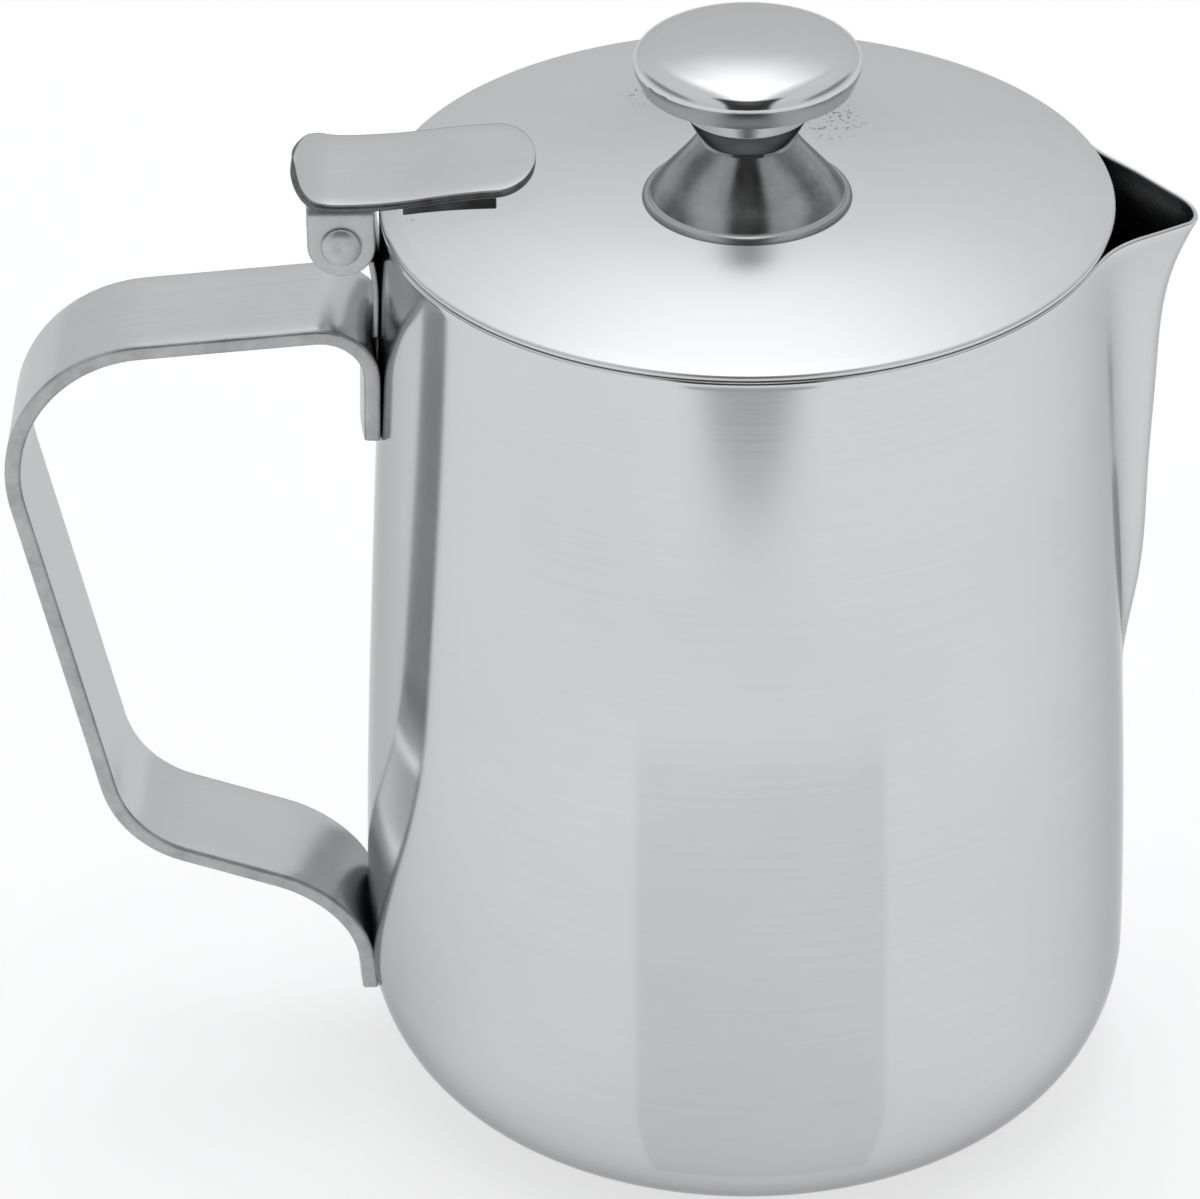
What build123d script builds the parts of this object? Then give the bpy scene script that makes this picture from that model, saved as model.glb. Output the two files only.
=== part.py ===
from build123d import *
import math
import os

# Milk frothing jug with a strap handle, a pressed spout and a hinged lid with a knob.
# Millimetres, +Z up. The origin is the centre of the base on the surface that the jug stands on.
# +X points to the spout, the handle and the hinge are on -X, and the XZ plane is the plane of symmetry.

# --- body ---------------------------------------------------------------------------------
wall = 0.8
base_radius = 39.0
belly_radius = 54.0
corner_height = 18.6
belly_height = 29.0
neck_radius = 50.4
neck_height = 108.0
rim_radius = 49.5
rim_height = 134.0

# --- spout --------------------------------------------------------------------------------
# each level: height, reach of the fold from the jug's axis, radius of the fold's nose
spout_levels = (
    (56.0, 50.6, 3.0),
    (68.0, 53.4, 3.4),
    (77.0, 54.8, 3.8),
    (92.0, 55.3, 4.4),
    (108.0, 55.9, 4.8),
    (121.0, 56.9, 5.2),
    (127.0, 58.6, 5.3),
    (133.0, 61.4, 5.4),
)
spout_half_angle = 48.5
spout_back = 38.0
spout_mouth_start = 46.0
# points of the mouth's rim: distance from the jug's axis, height
spout_mouth = ((53.0, 133.4), (57.0, 132.6), (62.4, 131.6))

# --- handle strap -------------------------------------------------------------------------
strap_width = 20.0
strap_thickness = 2.2
strap_edge_radius = 0.9
upper_tab_end = 102.6
upper_tab_corner = 119.5
handle_top = (-104.5, 114.6)
handle_bottom = (-87.6, 38.3)
lower_tab_corner = 27.3
lower_tab_end = 12.3
handle_bends = (6.0, 19.8, 15.3, 16.8)
tab_gap = 0.05
upper_tab_lean = 0.3
lower_tab_lean = 0.2
tab_seat_inset = 0.6
tab_seat_margin = 0.4
upper_seat_top = 112.0
lower_seat_top = 24.0

# --- hinge --------------------------------------------------------------------------------
hinge_x = -54.2
hinge_z = 133.2
rivet_radius = 1.5
rivet_clearance = 0.05
rivet_head_radius = 2.7
rivet_head_height = 0.9
knuckle_radius = 3.6
knuckle_length = 18.6
leaf_width = 13.0
leaf_thickness = 1.0
leaf_foot = 116.4
leaf_bend = 127.0
leaf_rise = 2.2
leaf_gap = 0.1
leaf_depth = 1.5

# --- lid ----------------------------------------------------------------------------------
lid_radius = 49.4
lid_thickness = 0.8
lid_hem_bottom = 135.05
lid_hem_top = 136.05
lid_hem_width = 1.6
lid_hem_round = 0.45
lid_crown_radius = 33.0
lid_crown_height = 137.3
lid_edge_height = 135.95
lid_edge_slope = -0.14
lid_seat_radius = 15.2
lid_seat_height = 134.8
lid_seat_slope = 0.05
lid_rest_gap = 0.05
inner_ring_radius = 49.0
inner_ring_bore = 45.5
skirt_radius = 47.8
skirt_bottom = 130.4
skirt_thickness = 0.8

# --- lever --------------------------------------------------------------------------------
lever_width = 21.0
lever_thickness = 1.1
ear_thickness = 1.0
ear_radius = 4.55
thumb_end = -61.3
thumb_round = 3.9
tongue_end = -28.3
tongue_half_width = 9.9
tongue_round = 5.2
# upper line of the plate between its ends: distance along X, height
lever_line = ((-58.0, 139.7), (-53.0, 139.2), (-46.5, 139.6), (-38.0, 140.7))
thumb_height = 141.5
tongue_height = 141.2
# side walls between the plate and the lid
flange_face = 7.8
flange_thickness = 1.2
flange_start = -46.0
flange_end = -33.5
weld_sink = 0.1

# --- knob ---------------------------------------------------------------------------------
base_ring_radius = 14.15
base_ring_height = 1.1
base_ring_round = 0.6
foot_radius = 13.1
foot_waist_radius = 9.5
foot_waist_height = 140.3
foot_top_radius = 6.7
foot_top = 144.0
knob_sheet = 0.8
cup_bottom_radius = 6.1
cup_crease_radius = 8.3
cup_crease_height = 147.9
cup_lip_radius = 13.5
cup_lip_height = 153.4
cap_edge_radius = 14.35
cap_edge_height = 152.3
cap_radius = 15.25
cap_widest_height = 155.4
cap_shoulder_radius = 14.0
cap_shoulder_height = 156.9
cap_dome_radius = 8.0
cap_dome_drop = 0.4
cap_top = 158.4
cap_flat_radius = 1.0
insert_radius = 4.2
insert_height = 7.0
insert_cover = 1.5
screw_radius = 2.0
screw_head_radius = 3.8
screw_head_height = 2.2
screw_head_round = 1.2
recess_length = 4.4
recess_width = 0.9
recess_depth = 1.2
washer_radius = 5.2
washer_thickness = 0.8

os.makedirs("parts", exist_ok=True)


def save(solid, label):
    """Name one finished piece and write its STEP file."""
    solid.label = label
    export_step(solid, f"parts/{label}.step")


def body_solid(inset, top):
    """The solid of revolution inside the body's wall, inset from its outer face."""
    with BuildPart() as solid:
        with BuildSketch(Plane.XZ):
            with BuildLine():
                Line((0, inset), (base_radius, inset))
                EllipticalCenterArc(
                    (base_radius, corner_height),
                    belly_radius - base_radius - inset,
                    corner_height - inset,
                    start_angle=270,
                    arc_size=90,
                )
                Spline(
                    (belly_radius - inset, corner_height),
                    (belly_radius - 0.1 - inset, belly_height),
                    (neck_radius - inset, neck_height),
                    (rim_radius - inset, rim_height),
                    tangents=((0, 1), (-0.02, 1)),
                )
                Line((rim_radius - inset, rim_height), (rim_radius - inset, top))
                Line((rim_radius - inset, top), (0, top))
                Line((0, top), (0, inset))
            make_face()
        revolve(axis=Axis.Z)
    return solid.part


def spout_solid(inset):
    """The wedge with a round nose that the spout's fold adds to the body, inset by the wall."""
    turn = math.radians(spout_half_angle)
    with BuildPart() as solid:
        for height, reach, nose in spout_levels:
            radius = nose - inset
            centre = reach - nose
            side = (centre + radius * math.cos(turn), radius * math.sin(turn))
            back = side[1] + (side[0] - spout_back) / math.tan(turn)
            with BuildSketch(Plane.XY.offset(height)):
                with BuildLine():
                    Line((spout_back, -back), (side[0], -side[1]))
                    ThreePointArc((side[0], -side[1]), (centre + radius, 0), side)
                    Line(side, (spout_back, back))
                    Line((spout_back, back), (spout_back, -back))
                make_face()
        loft()
    return solid.part


# --- jug body: drawn shell with the spout pressed into its wall ----------------------------
body_outside = body_solid(0, rim_height + 1)
body_inside = body_solid(wall, rim_height + 2)
with BuildPart() as jug_body:
    add(body_outside)
    add(spout_solid(0))
    add(body_inside, mode=Mode.SUBTRACT)
    add(spout_solid(wall), mode=Mode.SUBTRACT)
    # the spout's rim runs down from the body's rim to its lip
    with BuildSketch(Plane.XZ):
        with BuildLine():
            Spline((spout_mouth_start, rim_height), *spout_mouth, tangents=((1, 0), (1, -0.2)))
            Polyline(
                spout_mouth[-1],
                (spout_mouth[-1][0], rim_height + 5),
                (spout_mouth_start, rim_height + 5),
                (spout_mouth_start, rim_height),
            )
        make_face()
    extrude(amount=30, both=True, mode=Mode.SUBTRACT)
    # level rim
    with BuildSketch(Plane.XY.offset(rim_height)):
        Circle(70)
    extrude(amount=10, mode=Mode.SUBTRACT)
save(jug_body.part, "jug_body")


def body_radius(height):
    """Outer radius of the body at a height on its lower corner or on its tapered wall."""
    if height < corner_height:
        drop = (corner_height - height) / corner_height
        return base_radius + (belly_radius - base_radius) * math.sqrt(1 - drop**2)
    if height < belly_height:
        return belly_radius
    return belly_radius + (neck_radius - belly_radius) * (height - belly_height) / (
        neck_height - belly_height
    )


# --- handle: one bent strap, its tabs shaped to the body ------------------------------------
tab_offset = strap_thickness / 2 + tab_gap
with BuildPart() as handle_strap:
    with BuildLine(Plane.XZ) as strap_path:
        FilletPolyline(
            (-body_radius(upper_tab_end) - tab_offset, upper_tab_end),
            (-body_radius(upper_tab_corner) - tab_offset - upper_tab_lean, upper_tab_corner),
            handle_top,
            handle_bottom,
            (-body_radius(lower_tab_corner) - tab_offset, lower_tab_corner),
            (-body_radius(lower_tab_end) - tab_offset - lower_tab_lean, lower_tab_end),
            radius=handle_bends,
        )
    with BuildSketch(Plane(strap_path.line @ 0, x_dir=(0, 1, 0), z_dir=strap_path.line % 0)):
        RectangleRounded(strap_width, strap_thickness, strap_edge_radius)
    sweep()
    # the seats fill the space between each flat tab and the round body
    for end, high in ((upper_tab_end, upper_seat_top), (lower_tab_end, lower_seat_top)):
        low = end + tab_seat_margin
        outer = -body_radius(low) - tab_seat_inset
        with BuildSketch(Plane.XY.offset(low)):
            with Locations((outer, 0)):
                Rectangle(6, strap_width - 2 * strap_edge_radius, align=(Align.MIN, Align.CENTER))
        extrude(amount=high - low)
    add(body_outside, mode=Mode.SUBTRACT)
save(handle_strap.part, "handle_strap")

# --- hinge bracket: leaf on the body, rolled into the knuckle ------------------------------
leaf_face = hinge_x + knuckle_radius
leaf_outer = -rim_radius - leaf_thickness - leaf_gap
with BuildPart() as hinge_bracket:
    with BuildSketch(Plane.XZ):
        with BuildLine():
            Polyline(
                (leaf_outer, leaf_foot),
                (leaf_outer, leaf_bend),
                (leaf_face - leaf_thickness, leaf_bend + leaf_rise),
                (leaf_face - leaf_thickness, hinge_z),
                (leaf_face, hinge_z),
                (leaf_face, leaf_bend + leaf_rise),
                (leaf_depth - rim_radius, leaf_bend),
                (leaf_depth - rim_radius, leaf_foot),
                close=True,
            )
        make_face()
    extrude(amount=leaf_width / 2, both=True)
    with BuildSketch(Plane.XZ):
        with Locations((hinge_x, hinge_z)):
            Circle(knuckle_radius)
    extrude(amount=knuckle_length / 2, both=True)
    with BuildSketch(Plane.XZ):
        with Locations((hinge_x, hinge_z)):
            Circle(rivet_radius + rivet_clearance)
    extrude(amount=knuckle_length, both=True, mode=Mode.SUBTRACT)
    add(body_outside, mode=Mode.SUBTRACT)
save(hinge_bracket.part, "hinge_bracket")

# --- hinge rivet: shank and two domed heads ------------------------------------------------
with BuildPart() as hinge_rivet:
    with BuildSketch(Plane.XZ):
        with Locations((hinge_x, hinge_z)):
            Circle(rivet_radius)
    extrude(amount=lever_width / 2 + 0.2, both=True)
    for side in (-1, 1):
        with BuildSketch(Plane.XZ.offset(side * lever_width / 2)):
            with Locations((hinge_x, hinge_z)):
                Circle(rivet_head_radius)
        extrude(amount=side * rivet_head_height)
    outer_edges = hinge_rivet.edges().filter_by(GeomType.CIRCLE).group_by(Axis.Y)
    fillet(outer_edges[0] + outer_edges[-1], rivet_head_height * 0.8)
save(hinge_rivet.part, "hinge_rivet")

# --- lid shell: seat for the knob, low crown and hemmed rim --------------------------------
hem_inner = lid_radius - lid_hem_width


def lid_curve(drop):
    """Upper line of the lid from its axis to the hem, lowered by drop."""
    Line((0, lid_seat_height - drop), (lid_seat_radius, lid_seat_height - drop))
    Spline(
        (lid_seat_radius, lid_seat_height - drop),
        (lid_crown_radius, lid_crown_height - drop),
        (hem_inner, lid_edge_height - drop),
        tangents=((1, lid_seat_slope), (1, lid_edge_slope)),
    )


with BuildPart() as lid_shell:
    with BuildSketch(Plane.XZ):
        with BuildLine():
            lid_curve(0)
            Line((hem_inner, lid_edge_height), (hem_inner, lid_edge_height - lid_thickness))
            lid_curve(lid_thickness)
            Line((0, lid_seat_height - lid_thickness), (0, lid_seat_height))
        make_face()
    revolve(axis=Axis.Z)
    hem_overlap = 0.1
    with BuildSketch(Plane.XZ):
        with Locations(
            (
                lid_radius - (lid_hem_width + hem_overlap) / 2,
                (lid_hem_bottom + lid_hem_top) / 2,
            )
        ):
            RectangleRounded(
                lid_hem_width + hem_overlap, lid_hem_top - lid_hem_bottom, lid_hem_round
            )
    revolve(axis=Axis.Z)
    with BuildSketch(Plane.XY.offset(lid_seat_height)):
        Circle(screw_radius + 0.2)
    extrude(amount=-2 * lid_thickness, mode=Mode.SUBTRACT)
save(lid_shell.part, "lid_shell")

# --- ring under the lid: rests on the jug's rim and centres the lid ------------------------
with BuildPart() as lid_inner_ring:
    with BuildSketch(Plane.XZ):
        with BuildLine():
            Polyline(
                (inner_ring_bore, rim_height + lid_rest_gap),
                (inner_ring_bore, lid_hem_bottom),
                (inner_ring_radius, lid_hem_bottom),
                (inner_ring_radius, rim_height + lid_rest_gap),
                (skirt_radius, rim_height + lid_rest_gap),
                (skirt_radius, skirt_bottom),
                (skirt_radius - skirt_thickness, skirt_bottom),
                (skirt_radius - skirt_thickness, rim_height + lid_rest_gap),
                close=True,
            )
        make_face()
    revolve(axis=Axis.Z)
save(lid_inner_ring.part, "lid_inner_ring")

# --- lever: thumb plate, two ears and the walls that carry its tongue on the lid ---------------
half_lever = lever_width / 2
ear_top = lever_line[1][1] - lever_thickness / 2
plate_clearance = 25


def lid_height(radius):
    """Height of the lid's upper face between its crown and its rim, near enough for a weld."""
    share = (radius - lid_crown_radius) / (hem_inner - lid_crown_radius)
    return lid_crown_height - (lid_crown_height - lid_edge_height) * share**2


with BuildPart() as lid_lever:
    # side view of the plate: it curls up at the thumb end, dips over the ears, then rises
    with BuildSketch(Plane.XZ):
        with BuildLine():
            plate_top = Spline(
                (thumb_end + 0.8, thumb_height),
                *lever_line,
                (tongue_end, tongue_height),
                tangents=((0.8, -1), (1, 0.02)),
            )
            plate_bottom = Spline(
                (thumb_end, thumb_height - 0.7),
                *[(x - 0.2, height - lever_thickness) for x, height in lever_line],
                (tongue_end, tongue_height - lever_thickness),
                tangents=((0.8, -1), (1, 0.02)),
            )
            Line(plate_top @ 0, plate_bottom @ 0)
            Line(plate_top @ 1, plate_bottom @ 1)
        make_face()
    extrude(amount=half_lever, both=True)
    # plan of the plate: it narrows a little from the ears to the tongue, and both ends are round
    thumb_side = thumb_end + thumb_round
    tongue_side = tongue_end - tongue_round
    with BuildSketch(Plane.XY.offset(hinge_z)):
        Polygon(
            (thumb_side, -half_lever),
            (hinge_x + ear_radius + 1, -half_lever),
            (tongue_side, -tongue_half_width),
            (tongue_side, tongue_half_width),
            (hinge_x + ear_radius + 1, half_lever),
            (thumb_side, half_lever),
            align=None,
        )
        with Locations((thumb_side, 0)):
            Ellipse(thumb_round, half_lever)
        with Locations((tongue_side, 0)):
            Ellipse(tongue_round, tongue_half_width)
    extrude(amount=plate_clearance, mode=Mode.INTERSECT)
    for side in (-1, 1):
        # ears, their upper edges inside the plate
        with BuildSketch(Plane.XZ.offset(side * half_lever)):
            with BuildLine():
                ThreePointArc(
                    (hinge_x - ear_radius, hinge_z),
                    (hinge_x, hinge_z - ear_radius),
                    (hinge_x + ear_radius, hinge_z),
                )
                Polyline(
                    (hinge_x + ear_radius, hinge_z),
                    (hinge_x + ear_radius, ear_top),
                    (hinge_x, ear_top),
                    (hinge_x - ear_radius, ear_top + 0.7),
                    (hinge_x - ear_radius, hinge_z),
                )
            make_face()
        extrude(amount=-side * ear_thickness)
        # walls from the plate down to the lid, sunk a little for the weld
        with BuildSketch(Plane.XZ.offset(side * flange_face)):
            Polygon(
                (flange_start, lid_height(-flange_start) - weld_sink),
                (flange_end, lid_height(-flange_end) - weld_sink),
                (flange_end, tongue_height - lever_thickness / 2),
                (flange_start, lever_line[2][1] - lever_thickness / 2),
                align=None,
            )
        extrude(amount=-side * flange_thickness)
    with BuildSketch(Plane.XZ):
        with Locations((hinge_x, hinge_z)):
            Circle(rivet_radius)
    extrude(amount=half_lever + 1, both=True, mode=Mode.SUBTRACT)
save(lid_lever.part, "lid_lever")

# --- knob base ring ------------------------------------------------------------------------
ring_top = lid_seat_height + base_ring_height
with BuildPart() as knob_base_ring:
    with BuildSketch(Plane.XY.offset(lid_seat_height)):
        Circle(base_ring_radius)
        Circle(screw_radius, mode=Mode.SUBTRACT)
    extrude(amount=base_ring_height)
    rim_edge = knob_base_ring.edges().filter_by(GeomType.CIRCLE).group_by(SortBy.RADIUS)[-1]
    fillet(rim_edge.sort_by(Axis.Z)[-1], base_ring_round)
save(knob_base_ring.part, "knob_base_ring")

# --- knob foot: trumpet-shaped shell ---------------------------------------------------------
foot_slope = (-0.6, 1)
foot_inner = knob_sheet + 0.1
with BuildPart() as knob_foot:
    with BuildSketch(Plane.XZ):
        with BuildLine():
            Spline(
                (foot_radius, ring_top),
                (foot_waist_radius, foot_waist_height),
                (foot_top_radius, foot_top),
                tangents=(foot_slope, foot_slope),
            )
            Polyline(
                (foot_top_radius, foot_top),
                (0, foot_top),
                (0, foot_top - knob_sheet),
                (foot_top_radius - knob_sheet / 2, foot_top - knob_sheet),
            )
            Spline(
                (foot_radius - foot_inner, ring_top),
                (foot_waist_radius - foot_inner, foot_waist_height),
                (foot_top_radius - knob_sheet / 2, foot_top - knob_sheet),
                tangents=(foot_slope, foot_slope),
            )
            Line((foot_radius - foot_inner, ring_top), (foot_radius, ring_top))
        make_face()
    revolve(axis=Axis.Z)
    with Locations((0, 0, foot_top)):
        Hole(screw_radius, depth=2 * knob_sheet)
save(knob_foot.part, "knob_foot")

# --- knob cup: short stub, then a cone that opens to the lip under the cap ---------------------
with BuildPart() as knob_cup:
    with BuildSketch(Plane.XZ):
        Polygon(
            (0, foot_top),
            (cup_bottom_radius, foot_top),
            (cup_crease_radius, cup_crease_height),
            (cup_lip_radius, cup_lip_height),
            (cup_lip_radius - knob_sheet, cup_lip_height),
            (cup_crease_radius - knob_sheet, cup_crease_height + knob_sheet / 2),
            (cup_bottom_radius - knob_sheet, foot_top + knob_sheet),
            (0, foot_top + knob_sheet),
            align=None,
        )
    revolve(axis=Axis.Z)
    with Locations((0, 0, foot_top + knob_sheet)):
        Hole(screw_radius, depth=2 * knob_sheet)
save(knob_cup.part, "knob_cup")

# --- knob cap: domed shell closed over the cup -----------------------------------------------
shoulder = (cap_shoulder_radius, cap_shoulder_height)
inner_shoulder = (shoulder[0] - knob_sheet, shoulder[1] - knob_sheet / 2)
with BuildPart() as knob_cap:
    with BuildSketch(Plane.XZ):
        with BuildLine():
            Line((0, cap_top), (cap_flat_radius, cap_top))
            ThreePointArc((cap_flat_radius, cap_top), (cap_dome_radius, cap_top - cap_dome_drop), shoulder)
            ThreePointArc(
                shoulder,
                (cap_radius, cap_widest_height - 0.6),
                (cap_edge_radius, cap_edge_height),
            )
            Line((cap_edge_radius, cap_edge_height), (cup_lip_radius, cap_edge_height))
            Line((cup_lip_radius, cap_edge_height), (cup_lip_radius, cup_lip_height))
            ThreePointArc(
                (cup_lip_radius, cup_lip_height),
                (cap_radius - knob_sheet - 0.1, cap_widest_height - 0.8),
                inner_shoulder,
            )
            ThreePointArc(
                inner_shoulder,
                (cap_dome_radius, cap_top - cap_dome_drop - knob_sheet),
                (cap_flat_radius, cap_top - knob_sheet),
            )
            Line((cap_flat_radius, cap_top - knob_sheet), (0, cap_top - knob_sheet))
            Line((0, cap_top - knob_sheet), (0, cap_top))
        make_face()
    revolve(axis=Axis.Z)
save(knob_cap.part, "knob_cap")

# --- threaded insert, screw and washer -------------------------------------------------------
insert_bottom = foot_top + knob_sheet
washer_top = lid_seat_height - lid_thickness
screw_top = insert_bottom + insert_height - insert_cover
with BuildPart() as knob_insert:
    with BuildSketch(Plane.XY.offset(insert_bottom)):
        RegularPolygon(insert_radius, 6)
    extrude(amount=insert_height)
    with BuildSketch(Plane.XY.offset(insert_bottom)):
        Circle(screw_radius)
    extrude(amount=insert_height - insert_cover, mode=Mode.SUBTRACT)
save(knob_insert.part, "knob_insert")

with BuildPart() as knob_screw_washer:
    with BuildSketch(Plane.XY.offset(washer_top)):
        Circle(washer_radius)
        Circle(screw_radius, mode=Mode.SUBTRACT)
    extrude(amount=-washer_thickness)
save(knob_screw_washer.part, "knob_screw_washer")

head_top = washer_top - washer_thickness
with BuildPart() as knob_screw:
    with BuildSketch(Plane.XY.offset(head_top)):
        Circle(screw_head_radius)
    extrude(amount=-screw_head_height)
    fillet(knob_screw.edges().filter_by(GeomType.CIRCLE).sort_by(Axis.Z)[0], screw_head_round)
    with BuildSketch(Plane.XY.offset(head_top)):
        Circle(screw_radius)
    extrude(amount=screw_top - head_top)
    # cross recess in the head
    for length, width in ((recess_length, recess_width), (recess_width, recess_length)):
        with BuildSketch(Plane.XY.offset(head_top - screw_head_height)):
            Rectangle(length, width)
        extrude(amount=recess_depth, mode=Mode.SUBTRACT)
save(knob_screw.part, "knob_screw")
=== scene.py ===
import math

import bmesh
import bpy
import numpy as np
from mathutils import Matrix, Vector


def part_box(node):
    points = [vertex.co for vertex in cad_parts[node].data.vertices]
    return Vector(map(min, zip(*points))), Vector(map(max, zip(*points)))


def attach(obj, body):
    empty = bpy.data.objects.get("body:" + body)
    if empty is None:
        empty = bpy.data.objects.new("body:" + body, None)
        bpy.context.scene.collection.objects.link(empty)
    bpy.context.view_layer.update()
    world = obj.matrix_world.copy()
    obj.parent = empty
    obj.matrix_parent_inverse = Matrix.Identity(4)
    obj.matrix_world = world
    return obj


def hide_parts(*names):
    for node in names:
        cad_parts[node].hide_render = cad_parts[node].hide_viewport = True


# Visual model of a polished steel frothing jug with a hinged lid.
# Lengths in this script are millimetres in the CAD frame, and become metres in make_mesh().
# +X points to the spout, +Z is up, and the hinge and the handle are on -X.

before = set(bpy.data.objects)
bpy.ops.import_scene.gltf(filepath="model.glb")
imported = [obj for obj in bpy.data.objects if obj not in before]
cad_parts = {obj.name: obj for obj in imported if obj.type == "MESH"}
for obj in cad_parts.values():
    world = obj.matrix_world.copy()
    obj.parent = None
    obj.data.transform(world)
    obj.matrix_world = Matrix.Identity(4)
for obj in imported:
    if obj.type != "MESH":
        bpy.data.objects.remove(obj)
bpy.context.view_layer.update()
MM = 0.001
SHARP_ANGLE = math.radians(40)


def extent(node):
    """Lowest and highest corner of a CAD node, in millimetres."""
    low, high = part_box(node)
    return low / MM, high / MM


# --- driving dimensions, from the frame where it has them -----------------------------------
body_high = extent("jug_body")[1]
strap_high = extent("handle_strap")[1]
bracket_low, bracket_high = extent("hinge_bracket")
rivet_low, rivet_high = extent("hinge_rivet")
lid_low, lid_high = extent("lid_shell")
ring_low, ring_high = extent("lid_inner_ring")
lever_low, lever_high = extent("lid_lever")
knob_ring_low, knob_ring_high = extent("knob_base_ring")
foot_low, foot_high = extent("knob_foot")
cup_low, cup_high = extent("knob_cup")
cap_low, cap_high = extent("knob_cap")
hinge_x = (rivet_low.x + rivet_high.x) / 2
hinge_z = (rivet_low.z + rivet_high.z) / 2

WALL = 0.8
BASE_RADIUS = 39.0
CORNER_HEIGHT = 18.6
NECK_RADIUS = 50.4
NECK_HEIGHT = 108.0
RIM_RADIUS = 49.5
BELLY_RADIUS = body_high.y
RIM_HEIGHT = body_high.z


# --- curves and meshes -----------------------------------------------------------------------
def smooth_line(points, count, start=None, end=None):
    """Points along a cubic spline through the given points, with its end directions if given."""
    points = np.array(points, float)
    gaps = np.linalg.norm(np.diff(points, axis=0), axis=1)
    knots = np.concatenate(([0], np.cumsum(gaps)))
    size = len(points)
    matrix = np.zeros((size, size))
    right = np.zeros_like(points)
    for i in range(1, size - 1):
        before, after = gaps[i - 1], gaps[i]
        matrix[i, i - 1 : i + 2] = after, 2 * (before + after), before
        right[i] = 3 * (
            after * (points[i] - points[i - 1]) / before
            + before * (points[i + 1] - points[i]) / after
        )
    for row, near, direction in ((0, 1, start), (-1, -2, end)):
        if direction is None:
            matrix[row, row], matrix[row, near] = 2, 1
            right[row] = 3 * (points[near] - points[row]) / (gaps[row] * (1 if row == 0 else -1))
        else:
            matrix[row, row] = 1
            right[row] = np.array(direction, float) / np.linalg.norm(direction)
    slopes = np.linalg.solve(matrix, right)
    at = np.linspace(0, knots[-1], count)
    span = np.clip(np.searchsorted(knots, at, side="right") - 1, 0, size - 2)
    length = gaps[span][:, None]
    t = (at - knots[span])[:, None] / length
    return (
        (1 + 2 * t) * (1 - t) ** 2 * points[span]
        + t * (1 - t) ** 2 * length * slopes[span]
        + t**2 * (3 - 2 * t) * points[span + 1]
        + t**2 * (t - 1) * length * slopes[span + 1]
    )


def arc(centre, radius, first, last, count):
    """Points on a circle, or on an ellipse if radius is a pair, between two angles in degrees."""
    across, up = radius if isinstance(radius, tuple) else (radius, radius)
    angles = np.radians(np.linspace(first, last, count))
    return np.stack([centre[0] + across * np.cos(angles), centre[1] + up * np.sin(angles)], -1)


def straight(start, end, count=2):
    """Points along a straight run."""
    return np.linspace(start, end, count)


def joined(*runs):
    """One list of points from runs that follow each other, without doubled points."""
    points = np.concatenate([np.array(run, float) for run in runs])
    keep = np.ones(len(points), bool)
    keep[1:] = np.linalg.norm(np.diff(points, axis=0), axis=1) > 1e-6
    return points[keep]


def make_mesh(name, rings, materials, ring_closed=False, face_slots=None, capped=False):
    """Mesh through closed loops of points in millimetres.

    ring_closed joins the last loop to the first, and capped fills the first and the last.
    """
    rings = np.array(rings, float)
    count, size = rings.shape[:2]
    vertices = rings.reshape(-1, 3) * MM
    faces, slots = [], []
    for i in range(count if ring_closed else count - 1):
        after = (i + 1) % count
        for j in range(size):
            beside = (j + 1) % size
            faces.append((i * size + j, i * size + beside, after * size + beside, after * size + j))
            slots.append(0 if face_slots is None else face_slots(i, j))
    if capped:
        faces += [tuple(range(size))[::-1], tuple(range((count - 1) * size, count * size))]
        slots += [len(materials) - 1] * 2
    mesh = bpy.data.meshes.new(name)
    mesh.from_pydata(vertices.tolist(), [], faces)
    for material in materials:
        mesh.materials.append(material)
    mesh.polygons.foreach_set("material_index", slots)
    piece = bpy.data.objects.new(name, mesh)
    bpy.context.scene.collection.objects.link(piece)
    clean(mesh)
    return piece


def clean(mesh):
    """Joins points that meet, fixes the direction of faces, and shades smooth except at folds."""
    editable = bmesh.new()
    editable.from_mesh(mesh)
    bmesh.ops.remove_doubles(editable, verts=editable.verts, dist=1e-7)
    bmesh.ops.dissolve_degenerate(editable, edges=editable.edges, dist=1e-7)
    bmesh.ops.recalc_face_normals(editable, faces=editable.faces)
    editable.to_mesh(mesh)
    editable.free()
    mesh.polygons.foreach_set("use_smooth", [True] * len(mesh.polygons))
    mesh.set_sharp_from_angle(angle=SHARP_ANGLE)


def turned(name, profile, materials, steps=160, axis="z", closed=True, face_slots=None):
    """Solid of revolution of an outline of (radius, height) points.

    It turns about the jug's axis, or about the rivet's with axis "y". closed joins the outline's
    last point to its first; an outline that starts and ends on the axis doesn't need it.
    """
    angles = np.arange(steps) * 2 * math.pi / steps
    radius, height = profile[:, 0][:, None], profile[:, 1][:, None]
    first, second = radius * np.cos(angles), radius * np.sin(angles)
    level = np.broadcast_to(height, first.shape)
    if axis == "z":
        rings = np.stack([first, second, level], -1)
    else:
        rings = np.stack([hinge_x + first, level, hinge_z + second], -1)
    return make_mesh(name, rings, materials, ring_closed=closed, face_slots=face_slots)


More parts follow.
